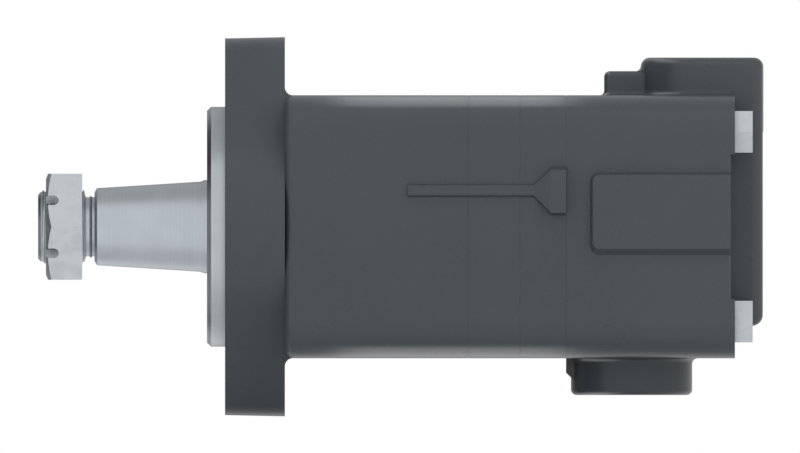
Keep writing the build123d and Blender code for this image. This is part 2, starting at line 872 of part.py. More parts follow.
# Valve housing: square body, two port bosses, lug, hump, pad and the hollows inside
upper_port_x = valve_end - upper_port_from_rear
lower_port_x = plate_end + lower_port_from_front
balance_floor = spring_x + spring_height + face_fit
gallery_end = balance_floor + gallery_len
upper_top = half_body + upper_boss_rise
lower_top = -half_body - lower_boss_rise
hump_back = valve_end + hump_rise
lug_x = plate_end + lug_front
drain_x = plate_end + drain_from_front


def foot_edges(piece, level, half_width, front_x, rear_x):
    """Edges where a boss stands on the body's face at a level, between two stations and within a width."""
    def at_foot(edge):
        place = edge.center()
        return (abs(place.Z - level) < face_fit and abs(place.Y) < half_width + face_fit
                and front_x - face_fit < place.X < rear_x - face_fit)
    return piece.edges().filter_by(at_foot)


def boss_foot(port_x, radius, level, side, rear_x):
    """Foot of a port boss: a thin slab of the body with the boss's stub on it and a round in the corner."""
    with BuildPart() as foot:
        with BuildSketch(Plane.XY.offset(level)):
            with Locations(((port_x - 2 * radius + rear_x) / 2, 0)):
                Rectangle(rear_x - port_x + 2 * radius, 3 * radius)
        extrude(amount=-side * boss_foot_r)
        with BuildSketch(Plane.XY.offset(level)) as stub:
            with Locations((port_x, 0)):
                Circle(radius)
            if rear_x < port_x + radius:
                with Locations(((port_x + rear_x) / 2, 0)):
                    Rectangle(rear_x - port_x, 2 * radius)
                with Locations((rear_x + radius, 0)):
                    Rectangle(2 * radius, 3 * radius, mode=Mode.SUBTRACT)
        extrude(stub.sketch, amount=side * 2 * boss_foot_r)
        fillet(foot_edges(foot, level, radius, port_x - radius, rear_x), boss_foot_r)
    return foot.part


def pad_outline(share):
    """Outline of the near side's pad at a share of its height, with two round corners at its front."""
    low = pad_low + share * pad_low_slope
    high = pad_high - share * pad_high_slope
    front = plate_end + pad_front + share * pad_front_slope
    with BuildSketch(Plane.XZ.offset(half_body + share * pad_h)) as outline:
        with Locations(((front + rear_face) / 2, (low + high) / 2)):
            Rectangle(rear_face - front, high - low)
        fillet(outline.vertices().group_by(Axis.X)[0], pad_corner_r - share * pad_front_slope)
    return outline.sketch


# Round in the corner between the lug's top and the upper boss
with BuildPart() as lug_fillet:
    lug_top_z = half_body + lug_rise
    with BuildSketch(Plane.XZ) as fillet_section:
        with Locations((upper_port_x - upper_boss_r, lug_top_z)):
            Rectangle(2 * lug_top_r, 2 * lug_top_r)
        with Locations((upper_port_x - upper_boss_r - lug_top_r, lug_top_z + lug_top_r)):
            Circle(lug_top_r, mode=Mode.SUBTRACT)
    revolve(fillet_section.sketch, axis=Axis((upper_port_x, 0, 0), (0, 0, 1)))
    with BuildSketch(Plane.YZ.offset(lug_x)) as lug_section:
        with Locations((0, lug_top_z)):
            Rectangle(lug_w - lug_edge_r, 2 * lug_top_r)
        fillet(lug_section.vertices().group_by(Axis.Y)[-1], lug_top_r)
    extrude(lug_section.sketch, amount=upper_port_x - lug_x - lug_w, mode=Mode.INTERSECT)

# Lug in front of the upper boss, rounded on top and flared at its foot
with BuildPart() as port_lug:
    with BuildSketch(Plane.XY.offset(half_body)):
        with Locations(((lug_x + upper_port_x) / 2 - lug_w / 2, 0)):
            Rectangle(upper_port_x - lug_x + lug_w, 3 * lug_w)
    extrude(amount=-lug_foot_r)
    with BuildSketch(Plane.XY.offset(half_body)) as lug_outline:
        with Locations(((lug_x + upper_port_x) / 2, 0)):
            Rectangle(upper_port_x - lug_x, lug_w)
        fillet(lug_outline.vertices().group_by(Axis.X)[0], lug_corner_r)
    extrude(lug_outline.sketch, amount=lug_rise)
    lug_top = port_lug.faces().sort_by(Axis.Z)[-1]
    fillet(lug_top.edges().sort_by(Axis.X)[:-1], lug_edge_r)
    fillet(foot_edges(port_lug, half_body, lug_w / 2, lug_x, upper_port_x), lug_foot_r)

with BuildPart() as valve_housing:
    with BuildSketch(Plane.XY.offset(hump_low)) as hump_outline:
        with Locations(((upper_port_x + hump_back) / 2, 0)):
            Rectangle(hump_back - upper_port_x, 2 * upper_boss_r)
        fillet(hump_outline.vertices().group_by(Axis.X)[-1], hump_corner_r)
    extrude(amount=half_body - hump_low)
    hump_foot = valve_housing.faces().sort_by(Axis.Z)[0].edges()
    fillet(hump_foot.sort_by(Axis.X)[1:], hump_edge_r)
    with BuildSketch(Plane.XY.offset(half_body - corner_r)) as boss_outline:
        with Locations(((upper_port_x + hump_back) / 2, 0)):
            Rectangle(hump_back - upper_port_x, 2 * upper_boss_r)
        fillet(boss_outline.vertices().group_by(Axis.X)[-1], hump_corner_r)
        with Locations((upper_port_x, 0)):
            Circle(upper_boss_r)
    extrude(amount=corner_r + upper_boss_rise)
    fillet(valve_housing.faces().sort_by(Axis.Z)[-1].edges(), upper_boss_edge_r)
    add(port_lug.part)
    add(lug_fillet.part)
    add(boss_foot(upper_port_x, upper_boss_r, half_body, 1, rear_face - rear_chamfer))
    with BuildSketch(Plane.XY.offset(-half_body + corner_r)):
        with Locations((lower_port_x, 0)):
            Circle(lower_boss_r)
    extrude(amount=-corner_r - lower_boss_rise)
    fillet(valve_housing.faces().sort_by(Axis.Z)[0].edges(), lower_boss_edge_r)
    add(boss_foot(lower_port_x, lower_boss_r, -half_body, -1, rear_face - rear_chamfer))
    with BuildSketch(Plane.YZ.offset(plate_end + joint_chamfer)):
        Rectangle(2 * body_side, 2 * body_side)
    extrude(amount=-2 * lower_boss_r, mode=Mode.SUBTRACT)
    # Web between the lower boss and the joint face
    with BuildSketch(Plane.XZ):
        with BuildLine():
            Polyline(
                (plate_end, corner_r - half_body),
                (plate_end, -half_body - boss_web_front),
                (plate_end + boss_web_rise - boss_web_front, -half_body - boss_web_rise),
                (lower_port_x, -half_body - boss_web_rise),
                (lower_port_x, corner_r - half_body),
                close=True,
            )
        make_face()
    extrude(amount=boss_web_w / 2, both=True)
    add(square_length(plate_end, rear_face, rear_edge=rear_chamfer))
    with BuildSketch(Plane.YZ.offset(rear_face - rear_chamfer)):
        RectangleRounded(body_side, body_side, corner_r)
        Rectangle(2 * pad_inner, body_side, mode=Mode.SUBTRACT)
        Rectangle(body_side, 2 * pad_inner, mode=Mode.SUBTRACT)
    extrude(amount=rear_relief + rear_chamfer)
    # Pad on the near side, with sloped edges and two round corners at its front
    loft([pad_outline(-pad_root), pad_outline(1)], ruled=True)
    # Hollows: disc chamber, balance ring bore, gallery, drain bore
    bored(plate_end, plate_end + chamber_len, chamber_r)
    bored(plate_end, plate_end + drain_bore_len, hub_bore_r)
    tube(plate_end + chamber_len, balance_floor, hub_r, balance_bore_r, Mode.SUBTRACT)
    tube(balance_floor, gallery_end, hub_r, gallery_r, Mode.SUBTRACT)
    seal_groove(plate_end, body_seal_h)
    corner_holes(plate_end, valve_end, bolt_clear_r)
    # Upper port, down to the duct from the gallery
    duct_z = (hub_r + gallery_r) / 2
    with BuildSketch(Plane.XY.offset(upper_top)):
        with Locations((upper_port_x, 0)):
            Circle(port_thread_r)
    extrude(amount=-port_thread_len, mode=Mode.SUBTRACT)
    with BuildSketch(Plane.XY.offset(upper_top)):
        with Locations((upper_port_x, 0)):
            Circle(port_core_r)
    extrude(amount=duct_z - duct_h / 2 - upper_top, mode=Mode.SUBTRACT)
    with BuildSketch(Plane.XY.offset(upper_top)):
        with Locations((upper_port_x, 0)):
            Circle(port_thread_r + port_chamfer)
    extrude(amount=-port_chamfer, taper=45, mode=Mode.SUBTRACT)
    with BuildSketch(Plane.YZ.offset(gallery_end - face_fit)):
        with Locations((0, duct_z)):
            RectangleRounded(duct_w, duct_h, duct_corner_r)
    extrude(amount=upper_port_x - gallery_end, mode=Mode.SUBTRACT)
    # Lower port, up to the duct from the disc chamber
    with BuildSketch(Plane.XY.offset(lower_top)):
        with Locations((lower_port_x, 0)):
            Circle(port_thread_r)
    extrude(amount=port_thread_len, mode=Mode.SUBTRACT)
    with BuildSketch(Plane.XY.offset(lower_top)):
        with Locations((lower_port_x, 0)):
            Circle(port_thread_r + port_chamfer)
    extrude(amount=port_chamfer, taper=45, mode=Mode.SUBTRACT)
    with BuildSketch(Plane.YZ.offset(plate_end + chamber_len / 2)):
        with Locations((0, lower_top + port_thread_len + duct_h / 2)):
            RectangleRounded(duct_w, duct_h, duct_corner_r)
    extrude(amount=lower_port_x + port_core_r - plate_end - chamber_len / 2, mode=Mode.SUBTRACT)
    # Drain port on the far side
    with BuildSketch(Plane.XZ.offset(-half_body)):
        with Locations((drain_x, 0)):
            Circle(drain_seat_r)
    extrude(amount=drain_seat_depth, mode=Mode.SUBTRACT)
    with BuildSketch(Plane.XZ.offset(-half_body)):
        with Locations((drain_x, 0)):
            Circle(drain_thread_r + thread_fit)
    extrude(amount=drain_thread_len, mode=Mode.SUBTRACT)
    with BuildSketch(Plane.XZ.offset(-half_body)):
        with Locations((drain_x, 0)):
            Circle(drain_hole_r)
    extrude(amount=half_body, mode=Mode.SUBTRACT)
save(valve_housing, "valve_housing")

# Drain plug with a hexagon socket, and its seal
plug_seat = half_body - drain_seat_depth
plug_head = plug_seat + drain_seal_len + 2 * face_fit
with BuildPart() as drain_plug:
    with BuildSketch(Plane.XZ.offset(-plug_head)):
        with Locations((drain_x, 0)):
            Circle(drain_head_r)
    extrude(amount=-drain_head_len)
    with BuildSketch(Plane.XZ.offset(-plug_head)):
        with Locations((drain_x, 0)):
            Circle(drain_thread_r)
    extrude(amount=drain_thread_len - drain_tip_gap)
    with BuildSketch(Plane.XZ.offset(-plug_head - drain_head_len)):
        with Locations((drain_x, 0)):
            RegularPolygon(drain_socket_af / 2, 6, major_radius=False)
    extrude(amount=drain_socket_depth, mode=Mode.SUBTRACT)
save(drain_plug, "drain_plug")

with BuildPart() as drain_plug_seal:
    with BuildSketch(Plane.XZ.offset(-plug_seat - face_fit)):
        with Locations((drain_x, 0)):
            Circle(drain_head_r - drain_seal_inset)
            Circle(drain_thread_r + seat_fit, mode=Mode.SUBTRACT)
    extrude(amount=-drain_seal_len)
save(drain_plug_seal, "drain_plug_seal")

# Square-cut seals in the joints between the sections
for name, groove in (
    ("front_body_seal", housing_end - body_seal_h),
    ("middle_body_seal", ring_end),
    ("rear_body_seal", plate_end),
):
    plain_ring(name, groove + face_fit, groove + body_seal_h - face_fit,
               body_seal_in + seat_fit, body_seal_out - seat_fit)

# Four cap screws that hold the sections together
screw_tip = housing_end - bolt_thread_len
with BuildPart() as housing_bolts:
    with BuildSketch(Plane.YZ.offset(valve_end)):
        with GridLocations(bolt_spacing, bolt_spacing, 2, 2):
            RegularPolygon(bolt_head_af / 2, 6, major_radius=False, rotation=0)
    extrude(amount=bolt_head_h)
    with BuildSketch(Plane.YZ.offset(screw_tip)):
        with GridLocations(bolt_spacing, bolt_spacing, 2, 2):
            Circle(bolt_r)
    extrude(amount=valve_end - screw_tip)
save(housing_bolts, "housing_bolts")
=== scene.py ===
"""Looks for an orbital hydraulic motor: finishes for its castings, shaft, screws and inner works, its
threads, the enamel in its joints, and a plain white studio. Laid out as an add-on and run as a script."""

import json
import math

import bmesh
import bpy
from mathutils import Matrix, Vector


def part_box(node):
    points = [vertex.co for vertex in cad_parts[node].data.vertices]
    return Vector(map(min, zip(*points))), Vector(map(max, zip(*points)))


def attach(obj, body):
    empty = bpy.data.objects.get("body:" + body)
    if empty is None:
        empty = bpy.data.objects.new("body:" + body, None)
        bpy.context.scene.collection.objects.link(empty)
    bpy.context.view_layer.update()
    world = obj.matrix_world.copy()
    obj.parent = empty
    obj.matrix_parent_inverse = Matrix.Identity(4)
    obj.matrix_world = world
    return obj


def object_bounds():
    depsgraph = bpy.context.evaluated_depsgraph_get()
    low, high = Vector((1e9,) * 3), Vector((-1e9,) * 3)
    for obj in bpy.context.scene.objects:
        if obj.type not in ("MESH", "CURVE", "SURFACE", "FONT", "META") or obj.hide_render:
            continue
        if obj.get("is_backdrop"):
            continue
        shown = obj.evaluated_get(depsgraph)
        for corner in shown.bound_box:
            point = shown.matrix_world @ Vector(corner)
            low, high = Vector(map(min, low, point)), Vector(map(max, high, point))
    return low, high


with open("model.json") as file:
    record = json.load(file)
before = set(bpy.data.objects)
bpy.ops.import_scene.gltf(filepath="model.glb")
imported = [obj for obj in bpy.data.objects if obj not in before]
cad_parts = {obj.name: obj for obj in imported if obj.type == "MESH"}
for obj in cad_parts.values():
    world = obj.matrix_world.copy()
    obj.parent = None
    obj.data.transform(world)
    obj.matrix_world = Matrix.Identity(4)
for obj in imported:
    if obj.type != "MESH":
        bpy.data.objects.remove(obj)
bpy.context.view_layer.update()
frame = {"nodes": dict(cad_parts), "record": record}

bl_info = {
    "name": "Orbital motor looks",
    "version": (1, 0, 0),
    "blender": (4, 5, 0),
    "location": "View3D > Sidebar > Motor",
    "description": "Finishes, threads, joint enamel and studio for an orbital hydraulic motor",
    "category": "Object",
}

MM = 0.001
CASTINGS = ("bearing_housing", "geroler_ring", "valve_plate", "valve_housing")
BEARINGS = (
    "front_bearing_race",
    "front_bearing_rollers",
    "rear_bearing_race",
    "rear_bearing_rollers",
    "thrust_washer_front",
    "thrust_washer_rear",
    "thrust_needles",
    "shaft_end_washer",
    "seal_backup_washer",
    "balance_spring",
)
CAGES = ("front_bearing_cage", "rear_bearing_cage", "thrust_cage")
DRIVE = ("drive_link", "link_spacer", "valve_drive", "rotor")
VALVE = ("wear_plate", "valve_disc", "balance_ring")
SEALS = (
    "dust_seal",
    "shaft_seal",
    "balance_outer_seal",
    "balance_inner_seal",
    "front_body_seal",
    "middle_body_seal",
    "rear_body_seal",
    "drain_plug_seal",
)
ROLLERS = tuple(name for name in frame["nodes"] if name.startswith("stator_roller_"))
PORTS = ("upper_port", "lower_port")
BEADS = ("front_joint_bead", "middle_joint_bead", "rear_joint_bead")

# The photograph is square on to the motor's side, so one scale holds all over it
PHOTO_WIDTH_PX = 800
PHOTO_HEIGHT_PX = 453
PHOTO_SCALE = 0.34396 * MM
PHOTO_AXIS_PX = (225.0, 226.75)
CAMERA_DISTANCE = 1.0
FLOOR_HALF = 1.6

# Edges sharper than the crease angle stay crisp. Corners of a CAD mesh nearer than the weld gap become one,
# and in a cut, points nearer than the cut gap do
CREASE = math.radians(28)
WELD_GAP = 0.002 * MM
CUT_GAP = 0.0001 * MM

# Most of a noise's values lie in its middle, so finishes change between these two
MIDDLE = (0.3, 0.7)

# Spray ripple under enamel, as a share of the sand bumps' height, and how strongly enamel shines
PEEL_SHARE = 0.22
PAINT_SPECULAR = 0.35

# Castings are machined before this station along the shaft, and in each port with a rim round its bore,
# further than this from the shaft's line
PILOT_BEFORE = -0.02 * MM
PORT_RIM = 1.25 * MM
PORT_BEYOND = 20 * MM

# The nut has three slots across it, where the zinc is made pale and dull like unpolished plating, as painted
# light in their shade. That zinc reaches a little past their walls and floor
NUT_SLOTS = 3
SLOT_WALL_MARGIN = 0.02 * MM
SLOT_FLOOR_MARGIN = 0.05 * MM
SLOT_SHADE = 0.92
SLOT_METALLIC = 0.25

# Plain finishes: roughness, metal or not, width of the patches of tone, and width and depth of the grain
PLAIN_FINISHES = {
    "ground_key": dict(roughness=0.34, metallic=1.0, patches=5 * MM, grain=0.2 * MM, depth=0.004 * MM),
    "zinc_plate": dict(roughness=0.38, metallic=1.0, patches=4 * MM, grain=0.25 * MM, depth=0.006 * MM),
    "moulded_cage": dict(roughness=0.5, metallic=0.0, patches=9 * MM, grain=0.4 * MM, depth=0.01 * MM),
    "ground_steel": dict(roughness=0.26, metallic=1.0, patches=11 * MM, grain=0.18 * MM, depth=0.003 * MM),
    "nitrile_rubber": dict(roughness=0.6, metallic=0.0, patches=7 * MM, grain=0.25 * MM, depth=0.02 * MM),
    "thread_steel": dict(roughness=0.36, metallic=1.0, patches=3 * MM, grain=0.2 * MM, depth=0.004 * MM),
}

# A thread's ridge: its foot and crest as shares of its pitch, how far it sinks into the core as a share of
# its depth, and its size at both ends as a share of its full size
RIDGE_FOOT = 0.92
RIDGE_CREST = 0.14
RIDGE_SUNK = 0.1
RIDGE_END = 0.05

# The shaft's thread starts this many pitches from the tip and is cut off this far before the thread's end.
# A port's thread is this many pitches shorter than its bore
SHAFT_START = 0.9
SHAFT_CLEARANCE = 0.03 * MM
PORT_SHORTER = 2.5

# Enamel in a joint: its height and the widths of its foot and crest, as shares of the groove's
BEAD_HEIGHT = 0.9
BEAD_FOOT = 0.12
BEAD_CREST = 1.02

# Broad lamps: name, width, and where each stands from the motor's middle
LAMPS = (
    ("key", 0.9, (0.45, -0.85, 0.35)),
    ("fill", 0.4, (-0.6, -0.75, 0.12)),
    ("top", 0.8, (0.1, 0.0, 0.9)),
)

# Panels for the enamel's gloss, each given as the upper one of its pair: the broad rims are placed from the
# motor's middle, the small bands from its origin
RIM_WIDTH = 1.6
RIM_OFFSET = Vector((0, 0.62, 0.6))
BAND_WIDTH = 0.08
BAND_DEPTH = 0.15
BAND_PLACE = Vector((0.077, 0.03, 0.125))
BAND_SPREAD = math.radians(120)

# Grey areas of the surroundings. Each fades with parts of the direction looked in: which part, the two
# values between which the grey changes, and its share at each of them
GREY_AREAS = {
    "front_card": (("X", -0.9, -0.5, 1.0, 0.0), ("Y", -0.62, -0.38, 0.0, 1.0)),
    "corner_card": (("X", -0.55, -0.35, 1.0, 0.0), ("Y", 0.3, 0.5, 0.0, 1.0)),
    "back_card": (
        ("X", -0.1, 0.3, 1.0, 0.4),
        ("Y", -0.1, 0.25, 0.0, 1.0),
        ("Z", -0.55, -0.25, 0.0, 1.0),
        ("Z", 0.25, 0.55, 1.0, 0.0),
    ),
    "top_card": (("Y", -0.45, -0.2, 0.0, 1.0), ("Z", 0.2, 0.5, 0.0, 1.0)),
    "floor_card": (("Z", -0.97, -0.75, 1.0, 0.0),),
}


def mount(name):
    """Place and sizes of one of the part's mounts."""
    return next(entry for entry in frame["record"]["mounts"] if entry["name"] == name)


class MotorPaint(bpy.types.PropertyGroup):
    """Enamel on the castings."""

    colour: bpy.props.FloatVectorProperty(
        name="Paint",
        description="Colour of the enamel on the castings",
        subtype="COLOR",
        size=3,
        min=0.0,
        max=1.0,
        default=(0.0475, 0.0555, 0.062),
    )
    roughness: bpy.props.FloatProperty(
        name="Roughness",
        description="How matt the enamel is",
        default=0.28,
        min=0.0,
        max=1.0,
        subtype="FACTOR",
    )
    sand_size: bpy.props.FloatProperty(
        name="Sand size",
        description="Width of the soft bumps that the moulding sand leaves under the enamel",
        default=1.9 * MM,
        unit="LENGTH",
    )
    sand_depth: bpy.props.FloatProperty(
        name="Sand depth",
        description="Height of those bumps",
        default=0.02 * MM,
        unit="LENGTH",
    )
    peel_size: bpy.props.FloatProperty(
        name="Peel size",
        description="Width of the fine ripple of sprayed enamel",
        default=0.7 * MM,
        unit="LENGTH",
    )


class MotorMetal(bpy.types.PropertyGroup):
    """Metals, cages and rubber."""

    steel: bpy.props.FloatVectorProperty(
        name="Steel",
        description="Colour of the shaft, the bearings, the links and the rotor",
        subtype="COLOR",
        size=3,
        min=0.0,
        max=1.0,
        default=(0.50, 0.54, 0.575),
    )
    zinc: bpy.props.FloatVectorProperty(
        name="Zinc",
        description="Colour of the plated nut and screws",
        subtype="COLOR",
        size=3,
        min=0.0,
        max=1.0,
        default=(0.59, 0.63, 0.66),
    )
    iron: bpy.props.FloatVectorProperty(
        name="Machined iron",
        description="Colour of the pilot and the bores, where the casting is machined",
        subtype="COLOR",
        size=3,
        min=0.0,
        max=1.0,
        default=(0.48, 0.51, 0.54),
    )
    iron_roughness: bpy.props.FloatProperty(
        name="Iron roughness",
        description="How matt the machined iron is",
        default=0.34,
        min=0.0,
        max=1.0,
        subtype="FACTOR",
    )
    cage: bpy.props.FloatVectorProperty(
        name="Cages",
        description="Colour of the bearings' moulded cages",
        subtype="COLOR",
        size=3,
        min=0.0,
        max=1.0,
        default=(0.52, 0.43, 0.27),
    )
    rubber: bpy.props.FloatVectorProperty(
        name="Rubber",
        description="Colour of the seals",
        subtype="COLOR",
        size=3,
        min=0.0,
        max=1.0,
        default=(0.018, 0.018, 0.019),
    )
    slot_width: bpy.props.FloatProperty(
        name="Slot width",
        description="Width of the slots across the nut's front",
        default=3.8 * MM,
        unit="LENGTH",
    )
    slot_depth: bpy.props.FloatProperty(
        name="Slot depth",
        description="Depth of those slots",
        default=4.5 * MM,
        unit="LENGTH",
    )
    tool_pitch: bpy.props.FloatProperty(
        name="Turning pitch",
        description="Distance between the lathe tool's marks",
        default=0.25 * MM,
        unit="LENGTH",
    )
    tool_depth: bpy.props.FloatProperty(
        name="Turning depth",
        description="Depth of the lathe tool's marks",
        default=0.006 * MM,
        unit="LENGTH",
    )


class MotorThreads(bpy.types.PropertyGroup):
    """Threads of the shaft's end and of the ports."""

    shaft_pitch: bpy.props.FloatProperty(
        name="Shaft pitch",
        description="Pitch of the shaft's thread, 20 to the inch",
        default=1.27 * MM,
        unit="LENGTH",
    )
    shaft_core: bpy.props.FloatProperty(
        name="Shaft core",
        description="Radius of the shaft at the root of its thread",
        default=12.0 * MM,
        unit="LENGTH",
    )
    shaft_length: bpy.props.FloatProperty(
        name="Shaft length",
        description="Length of the shaft's threaded end",
        default=16.0 * MM,
        unit="LENGTH",
    )
    port_pitch: bpy.props.FloatProperty(
        name="Port pitch",
        description="Pitch of the ports' threads, 14 to the inch",
        default=1.814 * MM,
        unit="LENGTH",
    )
    lead_turns: bpy.props.FloatProperty(
        name="Lead",
        description="Turns over which a thread's ridge rises to its full height at each end",
        default=0.6,
        min=0.1,
    )
    depth_share: bpy.props.FloatProperty(
        name="Thread depth",
        description="Height of a thread's ridge as a share of its pitch",
        default=0.54,
        min=0.1,
        max=0.8,
        subtype="FACTOR",
    )


class MotorJoints(bpy.types.PropertyGroup):
    """Enamel that lies in the grooves between the body's sections."""

    corner: bpy.props.FloatProperty(
        name="Corner radius",
        description="Radius of the square body's corners",
        default=12.6 * MM,
        unit="LENGTH",
    )
    groove_width: bpy.props.FloatProperty(
        name="Groove width",
        description="Width of the groove between two sections, at the surface",
        default=0.6 * MM,
        unit="LENGTH",
    )
    groove_depth: bpy.props.FloatProperty(
        name="Groove depth",
        description="Depth of that groove",
        default=0.3 * MM,
        unit="LENGTH",
    )
    hollow: bpy.props.FloatProperty(
        name="Hollow",
        description="How far the enamel in the groove stays below the surface",
        default=0.06 * MM,
        unit="LENGTH",
    )


class MotorStage(bpy.types.PropertyGroup):
    """Studio light and floor."""

    key_power: bpy.props.FloatProperty(
        name="Key",
        description="Power of the broad lamp beside the camera, towards the motor's rear, in watts",
        default=1.5,
        unit="POWER",
    )
    fill_power: bpy.props.FloatProperty(
        name="Fill",
        description="Power of the low lamp beside the camera, towards the shaft's end, in watts",
        default=0.45,
        unit="POWER",
    )
    top_power: bpy.props.FloatProperty(
        name="Top",
        description="Power of the lamp above, in watts",
        default=1.9,
        unit="POWER",
    )
    rim_power: bpy.props.FloatProperty(
        name="Rim",
        description="Power of each broad panel behind the motor, which the enamel's edges reflect, in watts",
        default=0.6,
        unit="POWER",
    )
    band_power: bpy.props.FloatProperty(
        name="Band",
        description="Power of each small panel just above and below the front body, in watts",
        default=0.05,
        unit="POWER",
    )
    ambient: bpy.props.FloatProperty(
        name="Ambient",
        description="Strength of the even light from all round",
        default=0.84,
        min=0.0,
    )
    front_card: bpy.props.FloatProperty(
        name="Front card",
        description="How much a grey card at the shaft's end darkens the white that metal reflects",
        default=0.72,
        min=0.0,
        max=1.0,
        subtype="FACTOR",
    )
    corner_card: bpy.props.FloatProperty(
        name="Corner card",
        description="How much a grey card behind the shaft's end darkens the white that metal reflects",
        default=0.88,
        min=0.0,
        max=1.0,
        subtype="FACTOR",
    )
    top_card: bpy.props.FloatProperty(
        name="Top card",
        description="How much a grey card above and behind darkens the white that metal reflects",
        default=0.45,
        min=0.0,
        max=1.0,
        subtype="FACTOR",
    )
    back_card: bpy.props.FloatProperty(
        name="Back card",
        description="How much a grey card all along the back darkens the white that gloss reflects",
        default=0.65,
        min=0.0,
        max=1.0,
        subtype="FACTOR",
    )
    floor_card: bpy.props.FloatProperty(
        name="Floor card",
        description="How much the ground straight below darkens the white that metal reflects",
        default=0.28,
        min=0.0,
        max=1.0,
        subtype="FACTOR",
    )
    floor_gap: bpy.props.FloatProperty(
        name="Floor gap",
        description="Distance from the flange's lowest point down to the floor",
        default=0.4 * MM,
        unit="LENGTH",
    )
    floor_colour: bpy.props.FloatVectorProperty(
        name="Floor",
        description="Colour of the floor",
        subtype="COLOR",
        size=3,
        min=0.0,
        max=1.0,
        default=(0.88, 0.88, 0.88),
    )


class Steps:
    """Adds nodes to a tree and wires them, so that a finish or a shape reads as a list of steps."""

    def __init__(self, tree):
        self.tree = tree

    def wire(self, made, inputs):
        """Set or link a node's inputs. Each is a plain value or another node's output."""
        for key, value in inputs.items():
            if isinstance(value, bpy.types.NodeSocket):
                self.tree.links.new(value, made.inputs[key])
            else:
                made.inputs[key].default_value = value

    def node(self, kind, inputs=None, **settings):
        """Add one node with its settings and inputs."""
        made = self.tree.nodes.new(kind)
        for name, value in settings.items():
            setattr(made, name, value)
        self.wire(made, inputs or {})
        return made

    def math(self, operation, *values, clamp=False):
        """One kind of sum over its values, taken in order. With one value, the second input isn't used."""
        total, *rest = values
        for value in rest or [0.0]:
            made = self.node("ShaderNodeMath", {0: total, 1: value}, operation=operation, use_clamp=clamp)
            total = made.outputs[0]
        return total

    def ramp(self, value, low, high, start=0.0, end=1.0):
        """Smooth change from start to end as a value goes from low to high."""
        made = self.node(
            "ShaderNodeMapRange",
            {"Value": value, "From Min": low, "From Max": high, "To Min": start, "To Max": end},
            interpolation_type="SMOOTHSTEP",
        )
        return made.outputs["Result"]

    # A mix node's sockets share their names, so they go by number: 2 and 3 are numbers, 6 and 7 colours
    def mix_numbers(self, amount, first, second):
        """Mix of two numbers."""
        return self.node("ShaderNodeMix", {0: amount, 2: first, 3: second}).outputs[0]

    def mix_colours(self, amount, first, second):
        """Mix of two colours."""
        return self.node("ShaderNodeMix", {0: amount, 6: first, 7: second}, data_type="RGBA").outputs[2]

    def shaded(self, colour, shade):
        """Colour made lighter or darker by a share."""
        made = self.node("ShaderNodeVectorMath", {0: colour, "Scale": shade}, operation="SCALE")
        return made.outputs[0]

    def place(self):
        """Place on the piece, measured from the motor's origin."""
        return self.node("ShaderNodeTexCoord").outputs["Object"]

    def parts(self, vector):
        """The three parts of a vector, by the names X, Y and Z."""
        return self.node("ShaderNodeSeparateXYZ", {0: vector}).outputs

    def distance(self, first, second):
        """Distance from an axis, from the two parts that lie across it."""
        across = self.node("ShaderNodeCombineXYZ", {0: first, 1: second}).outputs[0]
        return self.node("ShaderNodeVectorMath", {0: across}, operation="LENGTH").outputs["Value"]

    def noise(self, where, size, detail):
        """Noise from 0 to 1, whose bumps are about one size across."""
        scale = self.math("DIVIDE", 1.0, size) if isinstance(size, bpy.types.NodeSocket) else 1 / size
        made = self.node("ShaderNodeTexNoise", {"Vector": where, "Scale": scale, "Detail": detail})
        return made.outputs["Fac"]


def rgba(colour, shade=1.0):
    """Colour with its alpha, made lighter or darker by a share."""
    return (*(min(1.0, part * shade) for part in colour), 1.0)


def add_object(name, data):
    """New object in the scene for a mesh, a lamp or the camera."""
    made = bpy.data.objects.new(name, data)
    bpy.context.scene.collection.objects.link(made)
    return made


def new_skin(name, sizes):
    """Empty shader group: a colour, sizes and a roughness go in, a colour, roughness and height come out."""
    group = bpy.data.node_groups.new(name, "ShaderNodeTree")
    face = group.interface
    for direction in ("INPUT", "OUTPUT"):
        for label in ("Colour", "Roughness"):
            kind = "NodeSocketColor" if label == "Colour" else "NodeSocketFloat"
            face.new_socket(label, in_out=direction, socket_type=kind)
    for label, default in sizes.items():
        face.new_socket(label, in_out="INPUT", socket_type="NodeSocketFloat").default_value = default
    face.new_socket("Height", in_out="OUTPUT", socket_type="NodeSocketFloat")
    steps = Steps(group)
    return group, steps, steps.node("NodeGroupInput").outputs


def cast_skin_group():
    """Skin of a sand casting under enamel: soft sand bumps, fine spray ripple and a slight change of tone."""
    sizes = {"Sand Size": 1.9 * MM, "Sand Depth": 0.02 * MM, "Peel Size": 0.7 * MM}
    group, steps, given = new_skin("cast_skin", sizes)
    where = steps.place()
    broad = steps.noise(where, 38 * MM, detail=3.0)
    fine = steps.noise(where, 0.45 * MM, detail=1.0)
    tone = steps.ramp(broad, *MIDDLE, 0.97, 1.03)
    fleck = steps.ramp(fine, 0.35, 0.65, 0.96, 1.04)
    sand = steps.noise(where, given["Sand Size"], detail=2.5)
    peel = steps.noise(where, given["Peel Size"], detail=0.0)
    bumps = steps.math("MULTIPLY", sand, given["Sand Depth"])
    ripple = steps.math("MULTIPLY", given["Sand Depth"], PEEL_SHARE, peel)
    dull = steps.ramp(broad, 0.25, 0.75, -0.015, 0.02)
    steps.node(
        "NodeGroupOutput",
        {
            "Colour": steps.shaded(given["Colour"], steps.math("MULTIPLY", tone, fleck)),
            "Roughness": steps.math("ADD", given["Roughness"], dull),
            "Height": steps.math("ADD", bumps, ripple),
        },
    )
    return group


